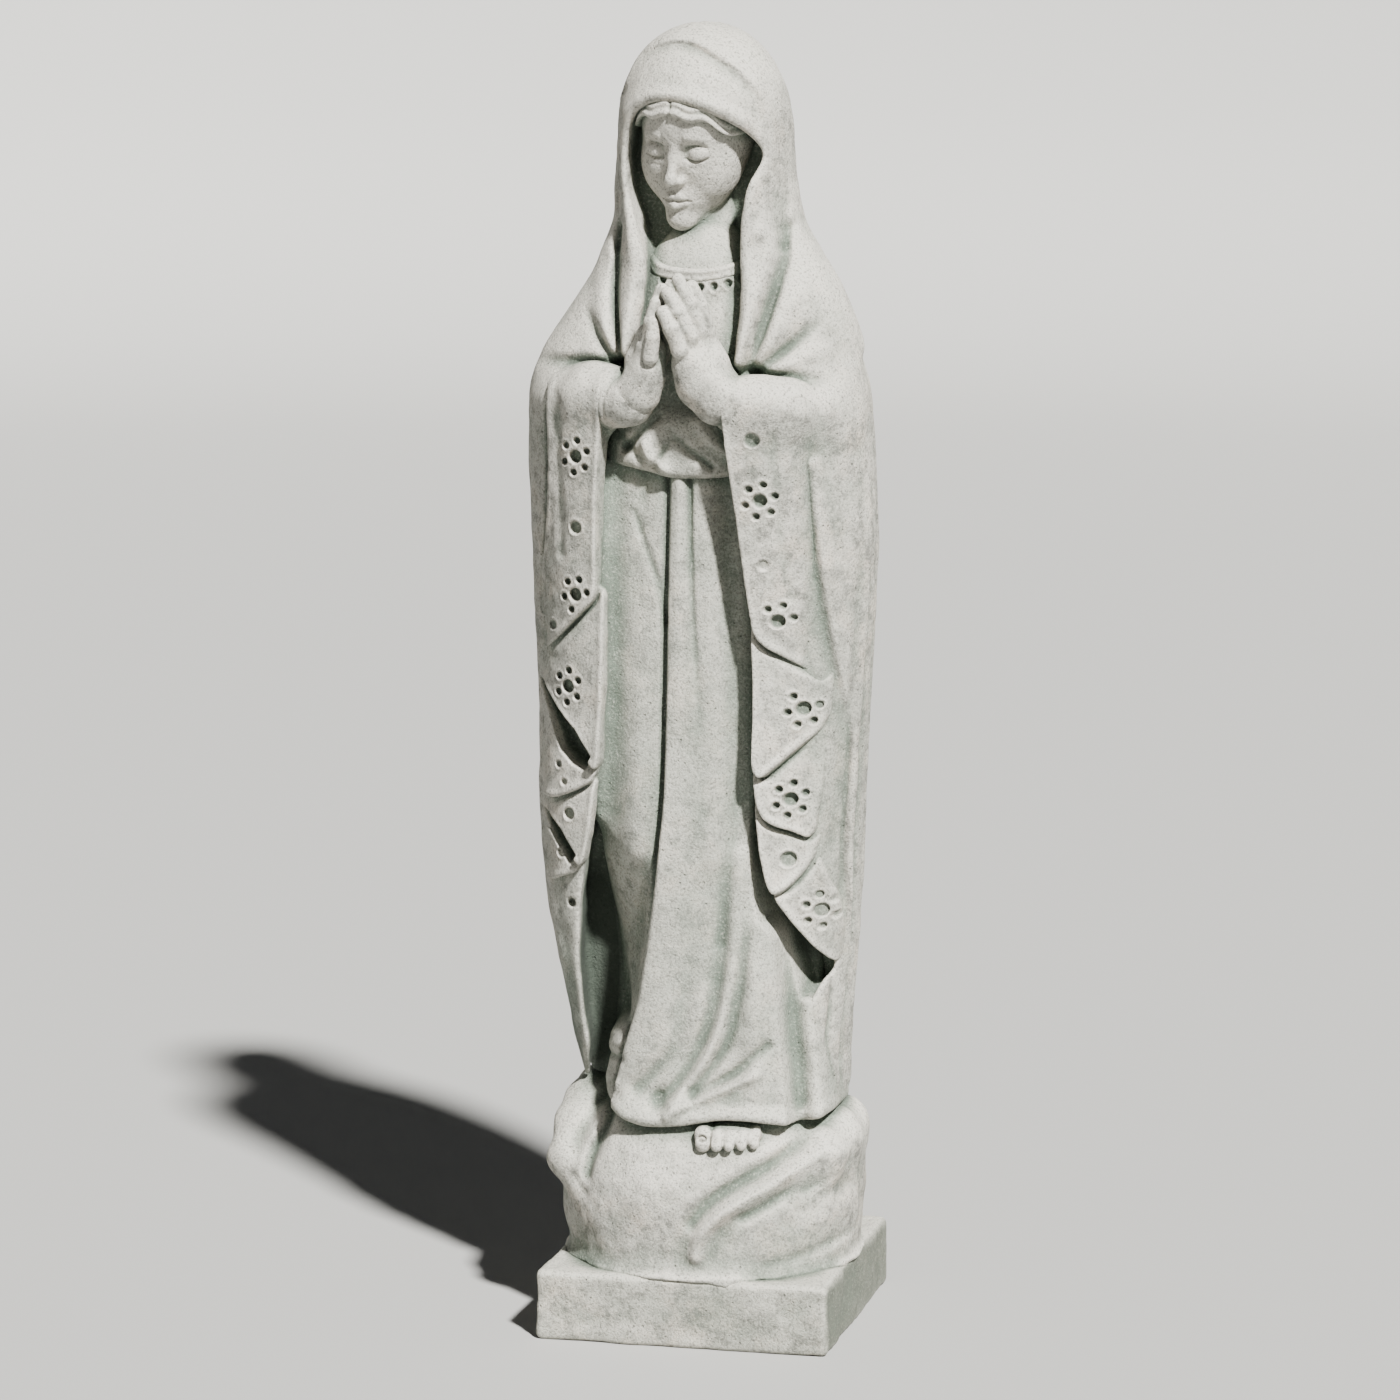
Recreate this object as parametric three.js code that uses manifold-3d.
// A cast-stone garden Madonna: a veiled, praying figure on a globe wrapped in cloud, on a square plinth.
// Millimetres, +Z up, the figure faces -Y, and the origin is the middle of the plinth's underside.
// "left" and "right" are the figure's own: its left hand is on the +X side.
import * as THREE from "three";
import { LoftGeometry } from "three/addons/geometries/LoftGeometry.js";
import { RoundedBoxGeometry } from "three/addons/geometries/RoundedBoxGeometry.js";
import { mergeVertices } from "three/addons/utils/BufferGeometryUtils.js";
import Module from "manifold-3d";

const wasm = await Module();
wasm.setup();

// Driving dimensions
const TOTAL_HEIGHT = 700;
const PLINTH_SIDE = 160;
const PLINTH_HEIGHT = 38;
const PLINTH_EDGE_RADIUS = 3;
const GLOBE_TOP = 118;
const WAIST_HEIGHT = 460;
const MANTLE_TOP = 576;
const GAP = 0.3; // hairline between neighbouring forms
const FRONT_FOLD = 7; // how far the front folds of the cloth edges stand proud
const BACK_FOLD = 4; // and the folds that lie behind them
const HOLE_RADIUS = 3.5;
const HOLE_DEPTH = 3;
const FAR = 200; // past the figure in any direction

const stone = (hex) =>
  new THREE.MeshStandardMaterial({ color: hex, roughness: 0.9, metalness: 0 });
const STONE = stone(0xbfc0b6);
const STONE_SHADED = stone(0xb2b8ac);

// ---------------------------------------------------------------- solids and booleans

function solid(geometry) {
  geometry.deleteAttribute("normal");
  geometry.deleteAttribute("uv");
  const merged = mergeVertices(geometry, 1e-4);
  return new wasm.Manifold(
    new wasm.Mesh({
      numProp: 3,
      vertProperties: merged.attributes.position.array,
      triVerts: new Uint32Array(merged.index.array),
    }),
  );
}

function geometryOf(manifold) {
  const made = manifold.getMesh();
  const geometry = new THREE.BufferGeometry();
  const position = new THREE.BufferAttribute(made.vertProperties, 3);
  geometry.setAttribute("position", position);
  geometry.setIndex(new THREE.BufferAttribute(made.triVerts, 1));
  geometry.computeVertexNormals();
  return geometry;
}

const cut = (body, ...tools) =>
  tools.reduce((left, tool) => left.subtract(tool), body);
const join = (first, ...more) =>
  more.reduce((sum, piece) => sum.add(piece), first);

// ---------------------------------------------------------------- shape makers

// A body of near-elliptical slices.
// Each row is [height, centre x, half width, depth in front, depth behind].
// Pleats run down it, growing deeper towards the hem and leaning a little as they fall.
function slices(rows, { grow = 0, sides = 28, steps = 12, pleats = null } = {}) {
  const between = new THREE.CubicInterpolant(
    rows.map((row) => row[0]),
    rows.flatMap((row) => row.slice(1)),
    4,
    new Float32Array(4),
  );
  const bottom = rows[0][0];
  const top = rows[rows.length - 1][0];
  const sections = [];
  for (let i = 0; i <= steps; i++) {
    const z = bottom + ((top - bottom) * i) / steps;
    const [centre, half, front, back] = between.evaluate(z);
    const lift = i === 0 ? -grow : i === steps ? grow : 0;
    const ring = [];
    for (let j = 0; j < sides; j++) {
      const angle = (j / sides) * Math.PI * 2;
      const depth = Math.sin(angle) < 0 ? front : back;
      const out = grow + (pleats ? pleatAt(pleats, angle, i / steps) : 0);
      ring.push(
        new THREE.Vector3(
          centre + (half + out) * Math.cos(angle),
          (depth + out) * Math.sin(angle),
          z + lift,
        ),
      );
    }
    sections.push(ring);
  }
  return solid(new LoftGeometry(sections, { capStart: true, capEnd: true }));
}

function pleatAt({ count, deep, lean }, angle, height) {
  return deep * (1 - height) * Math.cos(count * angle + lean * height);
}

// A limb or fold that follows a curve. Each point is [x, y, z, half thickness, half width], and the
// width lies nearest to the given direction.
function limb(points, widthAlong, { grow = 0, sides = 12, steps = 8 } = {}) {
  const curve = new THREE.CatmullRomCurve3(
    points.map((p) => new THREE.Vector3(p[0], p[1], p[2])),
  );
  const sizes = new THREE.CubicInterpolant(
    points.map((_, i) => i / (points.length - 1)),
    points.flatMap((p) => [p[3], p[4]]),
    2,
    new Float32Array(2),
  );
  const towards = new THREE.Vector3(...widthAlong);
  const sections = [];
  for (let i = 0; i <= steps; i++) {
    const t = i / steps;
    const tangent = curve.getTangent(t);
    const thin = new THREE.Vector3().crossVectors(towards, tangent).normalize();
    const wide = new THREE.Vector3().crossVectors(tangent, thin).normalize();
    const end = i === 0 ? -grow : i === steps ? grow : 0;
    const centre = curve.getPoint(t).addScaledVector(tangent, end);
    const [thickness, width] = sizes.evaluate(t);
    const ring = [];
    for (let j = 0; j < sides; j++) {
      const angle = (j / sides) * Math.PI * 2;
      ring.push(
        centre
          .clone()
          .addScaledVector(thin, (thickness + grow) * Math.cos(angle))
          .addScaledVector(wide, (width + grow) * Math.sin(angle)),
      );
    }
    sections.push(ring);
  }
  return solid(new LoftGeometry(sections, { capStart: true, capEnd: true }));
}

// A prism of an outline drawn on the XZ plane, running from depth y0 to y1.
function frontPrism(outline, y0, y1) {
  const shape = new THREE.Shape(
    outline.map(([x, z]) => new THREE.Vector2(x, z)),
  );
  const geometry = new THREE.ExtrudeGeometry(shape, {
    depth: y1 - y0,
    bevelEnabled: false,
  });
  // The extrusion runs along +Z of the drawing, which becomes -Y here.
  geometry.rotateX(Math.PI / 2).translate(0, y1, 0);
  return solid(geometry);
}

function ellipsoid([x, y, z], [rx, ry, rz], { grow = 0, bow = 0, turn = 0, fine = 10 } = {}) {
  const geometry = new THREE.SphereGeometry(1, fine * 2, fine);
  geometry.rotateX(Math.PI / 2);
  geometry.scale(rx + grow, ry + grow, rz + grow);
  geometry.rotateX(bow).rotateZ(turn).translate(x, y, z);
  return solid(geometry);
}

// ---------------------------------------------------------------- plinth, globe and clouds

const GLOBE = [
  [PLINTH_HEIGHT + GAP, 1, 68, 70, 60],
  [50, 1, 76, 75, 66],
  [72, 0, 80, 77, 70],
  [98, 0, 78, 73, 68],
  [112, 2, 70, 67, 60],
  [GLOBE_TOP, 3, 62, 62, 54],
];

// The bank of cloud that sweeps up across the globe on the left, and the knot of it on the right
const LEFT_CLOUD = [
  [4, -72, 50, 3, 4],
  [32, -72, 70, 6, 9],
  [60, -57, 92, 9, 14],
  [76, -30, 105, 9, 17],
  [77, 6, 108, 8, 16],
  [69, 34, 104, 5, 10],
];
const RIGHT_CLOUD = [
  [-60, -46, 62, 3, 5],
  [-75, -30, 80, 8, 15],
  [-79, -6, 100, 9, 21],
  [-70, 22, 108, 8, 18],
  [-56, 42, 104, 5, 8],
];

const globe = (grow) => slices(GLOBE, { grow, sides: 32, steps: 8 });
const leftCloud = (grow) => limb(LEFT_CLOUD, [0, 0, 1], { grow, steps: 10 });
const rightCloud = (grow) => limb(RIGHT_CLOUD, [0, 0, 1], { grow, steps: 8 });

function makePlinth() {
  const block = new RoundedBoxGeometry(
    PLINTH_SIDE,
    PLINTH_SIDE,
    PLINTH_HEIGHT,
    2,
    PLINTH_EDGE_RADIUS,
  );
  block.translate(0, 0, PLINTH_HEIGHT / 2);
  return solid(block);
}

const makeGlobe = () => cut(globe(0), leftCloud(GAP), rightCloud(GAP));

// ---------------------------------------------------------------- the gown

const SKIRT = [
  [GLOBE_TOP + GAP, 4, 61, 64, 46],
  [150, 2, 60, 60, 46],
  [200, -1, 58, 55, 46],
  [300, -5, 58, 50, 45],
  [400, -8, 55, 46, 44],
  [WAIST_HEIGHT, -9, 50, 44, 43],
];
const SKIRT_PLEATS = { count: 8, deep: 3, lean: 1.2 };
// The one deep fold that falls from the waist and sweeps out over the right foot
const SKIRT_FOLD = [
  [-13, -48, 462, 3, 3],
  [-13, -50, 370, 4, 4],
  [-18, -53, 260, 5, 5],
  [-31, -57, 181, 6, 6],
  [-44, -56, 130, 7, 6],
];

const BODICE = [
  [WAIST_HEIGHT + GAP, -9, 50, 47, 42],
  [472, -8, 50, 51, 42],
  [500, -7, 48, 46, 41],
  [540, -4, 44, 41, 39],
  [566, -3, 38, 38, 35],
  [580, -2, 28, 28, 28],
];

const skirt = (grow) =>
  slices(SKIRT, { grow, sides: 32, steps: 8, pleats: SKIRT_PLEATS });
const bodice = (grow) => slices(BODICE, { grow, steps: 8 });

const makeSkirt = () =>
  cut(skirt(0), limb(SKIRT_FOLD, [0, 1, 0], { sides: 8, steps: 8 }));

const makeBodice = () =>
  cut(bodice(0), neck(GAP), leftSleeve(GAP), rightSleeve(GAP));

// A rolled neckline across the chest with a row of small drops hung below it.
function makeNeckline() {
  const roll = limb(
    [
      [-30, -29, 572, 1.8, 1.8],
      [-17, -36.5, 569, 1.8, 1.8],
      [-3, -39.5, 568, 1.8, 1.8],
      [12, -37, 569, 1.8, 1.8],
      [25, -29, 572, 1.8, 1.8],
    ],
    [0, 0, 1],
    { sides: 6, steps: 8 },
  );
  const drops = [-15, -9, -3, 3, 9].map((x) =>
    ellipsoid([x, -40 + ((x + 3) / 9) ** 2, 565.5], [1.8, 1.6, 2.6], { fine: 4 }),
  );
  return cut(join(roll, ...drops), bodice(GAP));
}

// The bare forefoot that shows under the hem: a sole with five toes on it, the big toe inside.
function makeFoot() {
  const sole = ellipsoid([23, -52, 112], [19, 18, 6], { fine: 6 });
  const toes = [0, 1, 2, 3, 4].map((i) =>
    ellipsoid([10 + i * 6.6, -66 + i * i * 0.7, 112], [i === 0 ? 5 : 4, 9, 5], { fine: 5 }),
  );
  return cut(join(sole, ...toes), globe(GAP), skirt(GAP));
}

// ---------------------------------------------------------------- the mantle

const MANTLE = [
  [126, 1, 70, 56, 56],
  [150, 0, 74, 56, 56],
  [190, -3, 79, 55, 55],
  [240, -6, 85, 54, 54],
  [300, -6, 89, 53, 52],
  [370, -6, 91, 52, 51],
  [440, -6, 94, 53, 50],
  [490, -7, 94, 56, 49],
  [515, -7, 90, 54, 48],
  [545, -3, 78, 46, 46],
  [562, -1, 68, 39, 44],
  [MANTLE_TOP, -2, 60, 35, 43],
];
// The cloak hangs open in front; this is the opening, from the hem up to the throat.
const MANTLE_OPENING = [
  [-54, 100],
  [58, 100],
  [46, 230],
  [34, 380],
  [30, 486],
  [29, 530],
  [32, 560],
  [32, 620],
  [-34, 620],
  [-34, 560],
  [-26, 530],
  [-46, 500],
  [-50, 300],
];

// The arms under the cloak, from elbow to wrist
const RIGHT_SLEEVE = [
  [-82, -6, 490, 22, 22],
  [-62, -34, 496, 21, 21],
  [-36, -52, 502, 17, 16],
];
const LEFT_SLEEVE = [
  [74, -6, 484, 22, 24],
  [56, -36, 490, 21, 23],
  [27, -56, 498, 16, 16],
];

const MANTLE_PLEATS = { count: 9, deep: 2.5, lean: 1 };
const mantle = (grow) =>
  slices(MANTLE, { grow, sides: 36, steps: 12, pleats: MANTLE_PLEATS });
const leftSleeve = (grow) => limb(LEFT_SLEEVE, [0, 0, 1], { grow, steps: 6 });
const rightSleeve = (grow) => limb(RIGHT_SLEEVE, [0, 0, 1], { grow, steps: 6 });

const makeMantle = () =>
  cut(
    mantle(0),
    skirt(GAP),
    bodice(GAP),
    frontPrism(MANTLE_OPENING, -FAR, -8),
    leftSleeve(GAP),
    rightSleeve(GAP),
  );

// The zigzag edges of the mantle, drawn on the front plane from the arm down. Odd folds stand in
// front of even ones.
const LEFT_EDGE = [
  [[20, 486], [24, 460], [28, 436], [34, 384], [68, 357], [67, 392], [60, 450], [52, 486]],
  [[34, 392], [34, 309], [40, 307], [60, 325], [71, 345], [70, 372]],
  [[36, 322], [36, 293], [41, 283], [64, 270], [69, 300], [64, 336]],
  [[38, 296], [41, 249], [45, 242], [63, 257], [69, 284]],
  [[45, 262], [46, 240], [60, 216], [74, 200], [74, 240], [70, 274]],
];
const RIGHT_EDGE = [
  [[-44, 500], [-50, 450], [-52, 396], [-94, 360], [-110, 400], [-110, 486]],
  [[-51, 410], [-51, 344], [-56, 305], [-94, 342], [-110, 356], [-110, 400]],
  [[-52, 330], [-53, 300], [-96, 280], [-108, 300], [-108, 350]],
  [[-54, 310], [-55, 256], [-66, 250], [-98, 276], [-104, 300]],
  [[-64, 268], [-66, 252], [-96, 238], [-104, 270]],
];
const LEFT_EDGE_HOLES = [
  [38, 450],
  [41, 418],
  [58, 341],
  [52, 298],
  [52, 261],
  [66, 232],
];
const RIGHT_EDGE_HOLES = [
  [-64, 474],
  [-66, 436],
  [-66, 397],
  [-72, 345],
  [-72, 268],
];

// A hanging edge: each fold is the sheet just outside the body it lies on, cut to the fold's outline.
function foldedEdge(body, folds, holes = [], thick = [FRONT_FOLD, BACK_FOLD]) {
  const inner = body(GAP);
  const sheets = thick.map((t) => cut(body(t), inner));
  const drills = holes.map(([x, z]) => {
    const drill = new THREE.CylinderGeometry(HOLE_RADIUS, HOLE_RADIUS, FAR, 8);
    drill.translate(x, -FAR / 2, z);
    return cut(solid(drill), body(BACK_FOLD - HOLE_DEPTH));
  });
  const pieces = folds.map((outline, i) =>
    sheets[i % 2].intersect(frontPrism(outline, -FAR, -2)),
  );
  return cut(join(...pieces), ...drills, leftSleeve(GAP), rightSleeve(GAP));
}

// ---------------------------------------------------------------- head, veil and hands

const HEAD_CENTRE = [-3, -13, 628];
const HEAD_RADII = [31, 37, 43];
const HEAD_BOW = 0.2; // nods forward
const HEAD_TURN = -0.14; // looks towards the right hand
const HAIR_THICKNESS = 3;

const VEIL = [
  [MANTLE_TOP + GAP, -2, 60, 35, 43],
  [590, -3, 53, 38, 44],
  [606, -5, 49, 43, 46],
  [632, -5, 47, 47, 48],
  [655, -5, 43, 43, 46],
  [674, -4, 36, 35, 40],
  [688, -4, 27, 26, 30],
  [696, -5, 17, 16, 18],
  [TOTAL_HEIGHT, -6, 6, 6, 6],
];

// The veil's front falls, from beside the face to the crook of each arm
const RIGHT_FALL = [
  [-44, 640],
  [-36, 604],
  [-31, 592],
  [-26, 572],
  [-28, 544],
  [-34, 518],
  [-40, 520],
  [-45, 557],
  [-50, 589],
];
const LEFT_FALL = [
  [38, 640],
  [34, 604],
  [31, 590],
  [30, 568],
  [29, 545],
  [28, 518],
  [35, 520],
  [41, 556],
  [45, 577],
  [48, 600],
];

const RIGHT_CUFF = [
  [-34, -54.6, 502.6, 12, 13],
  [-28, -58, 504, 13, 14],
  [-22, -61, 505, 12, 12],
];
const RIGHT_HAND = [
  [-25, -62, 505, 8, 11],
  [-18, -65, 520, 9, 14],
  [-13, -68, 537, 7.5, 14],
  [-11.5, -70, 553, 5.5, 11],
  [-9.5, -71, 567, 3, 6],
];
const LEFT_HAND = [
  [22, -60, 500, 8, 11],
  [12, -64, 515, 9, 14],
  [4.5, -68, 534, 8, 14],
  [1.2, -70, 550, 6, 11],
  [0, -71, 564, 3, 6],
];

const head = (grow) =>
  ellipsoid(HEAD_CENTRE, HEAD_RADII, { grow, bow: HEAD_BOW, turn: HEAD_TURN, fine: 12 });
const veil = (grow) => slices(VEIL, { grow, steps: 12 });
const rightCuff = (grow) => limb(RIGHT_CUFF, [0, 0, 1], { grow, steps: 4 });
const rightHand = (grow) => limb(RIGHT_HAND, [0, 1, 0.2], { grow });

function neck(grow) {
  const rows = [
    [560, -3, 20, 24, 14],
    [582, -3, 18, 25, 14],
    [604, -3, 18, 26, 16],
  ];
  return slices(rows, { grow, sides: 16, steps: 3 });
}

function makeHair() {
  const band = frontPrism([[-40, 646], [40, 646], [40, 672], [-40, 672]], -FAR, -14);
  return head(HAIR_THICKNESS).intersect(band).subtract(head(GAP));
}

function makeVeil() {
  const outline = new THREE.EllipseCurve(-3, 618, 31, 46)
    .getPoints(20)
    .slice(0, -1)
    .map((p) => [p.x, p.y]);
  return cut(
    veil(0),
    head(HAIR_THICKNESS + GAP),
    neck(GAP),
    frontPrism(outline, -FAR, -10),
    bodice(GAP),
  );
}

// The falls lie on the veil above and on the mantle below, so they follow the two as one body.
const veiledBody = (grow) => join(veil(grow), mantle(grow));
const makeFall = (outline) =>
  cut(foldedEdge(veiledBody, [outline], [], [BACK_FOLD]), bodice(GAP), neck(GAP));

// ---------------------------------------------------------------- the assembly

const statue = new THREE.Group();
const place = (name, manifold, material = STONE) => {
  const mesh = new THREE.Mesh(geometryOf(manifold), material);
  mesh.name = name;
  statue.add(mesh);
};
const clearOf = (cloud) => cut(cloud, skirt(GAP), mantle(GAP));

place("plinth", makePlinth(), STONE_SHADED);
place("globe", makeGlobe());
place("cloud_left", clearOf(leftCloud(0)));
place("cloud_right", clearOf(rightCloud(0)));
place("left_foot", makeFoot());
place("gown_skirt", makeSkirt());
place("gown_bodice", makeBodice());
place("neckline_trim", makeNeckline());
place("mantle", makeMantle());
place("mantle_edge_left", foldedEdge(mantle, LEFT_EDGE, LEFT_EDGE_HOLES));
place("mantle_edge_right", foldedEdge(mantle, RIGHT_EDGE, RIGHT_EDGE_HOLES));
place("sleeve_left", cut(leftSleeve(0), skirt(GAP)));
place("sleeve_right", cut(rightSleeve(0), skirt(GAP)));
place("cuff_right", cut(rightCuff(0), rightSleeve(GAP), bodice(GAP)));
place("hand_left", cut(limb(LEFT_HAND, [0, 1, 0.2]), leftSleeve(GAP), bodice(GAP)));
place("hand_right", cut(rightHand(0), rightCuff(GAP), bodice(GAP)));
place("neck", cut(neck(0), head(GAP)));
place("head", head(0));
place("hair", makeHair());
place("veil_hood", makeVeil());
place("veil_fall_left", makeFall(LEFT_FALL));
place("veil_fall_right", makeFall(RIGHT_FALL));

export default statue;
